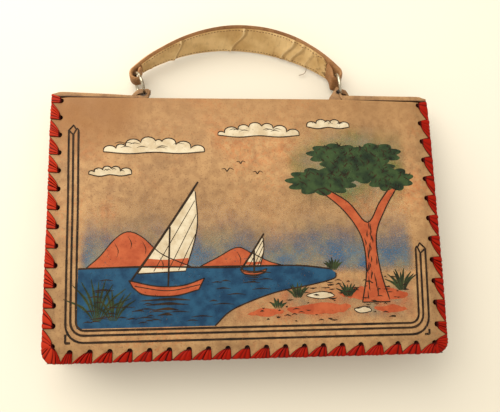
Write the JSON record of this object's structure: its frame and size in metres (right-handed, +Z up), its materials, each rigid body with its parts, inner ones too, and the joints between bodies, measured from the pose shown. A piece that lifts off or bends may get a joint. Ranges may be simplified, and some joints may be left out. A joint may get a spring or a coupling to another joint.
{
  "type": "travel bag",
  "caption": "Flat leather travel bag with red laced edges, folding bellows sides and an arched strap handle hung from steel rings, lying on its back.",
  "frame": {"origin": "middle of the back panel's resting face, on the table", "axes": "+X along the bag's width, +Y from its bottom to its mouth and handle, +Z up from the table through the front panel"},
  "size_m": [0.2822, 0.2515, 0.042],
  "materials": {
    "panel_leather": "worn, semi-matt",
    "gusset_leather": "semi-matt",
    "lace": "semi-gloss",
    "lining_cloth": "matt",
    "snap_metal": "satin",
    "ring_steel": "dulled nickel",
    "strap_leather": "worn, semi-matt",
    "strap_lining": "cracked, matt"
  },
  "bodies": {
    "bag": {"front_panel": "panel_leather", "back_panel": "panel_leather", "gusset_left": "gusset_leather", "gusset_right": "gusset_leather", "gusset_bottom": "gusset_leather", "lacing_front": "lace", "lacing_back": "lace", "front_lining": "lining_cloth", "back_lining": "lining_cloth", "front_facing": "gusset_leather", "back_facing": "gusset_leather", "snap_socket": "snap_metal", "snap_stud": "snap_metal"},
    "ring_left": {"ring_left": "ring_steel"},
    "ring_right": {"ring_right": "ring_steel"},
    "handle": {"handle_strap": "strap_leather", "handle_lining": "strap_lining"}
  },
  "joints": [
    {"name": "ring_left_swing", "type": "hinge", "parent": "bag", "child": "ring_left", "pos_m": [-0.076, 0.1, 0.01231], "axis": [1, 0, 0], "range_deg": [-30, 30]},
    {"name": "ring_right_swing", "type": "hinge", "parent": "bag", "child": "ring_right", "pos_m": [0.076, 0.1, 0.01231], "axis": [1, 0, 0], "range_deg": [-30, 30]},
    {"name": "handle_swing", "type": "hinge", "parent": "ring_left", "child": "handle", "pos_m": [-0.076, 0.109, 0.01231], "axis": [1, 0, 0], "range_deg": [-50, 85]}
  ],
  "couplings": [
    {"joint": "ring_right_swing", "follows": "ring_left_swing", "ratio": 1}
  ]
}
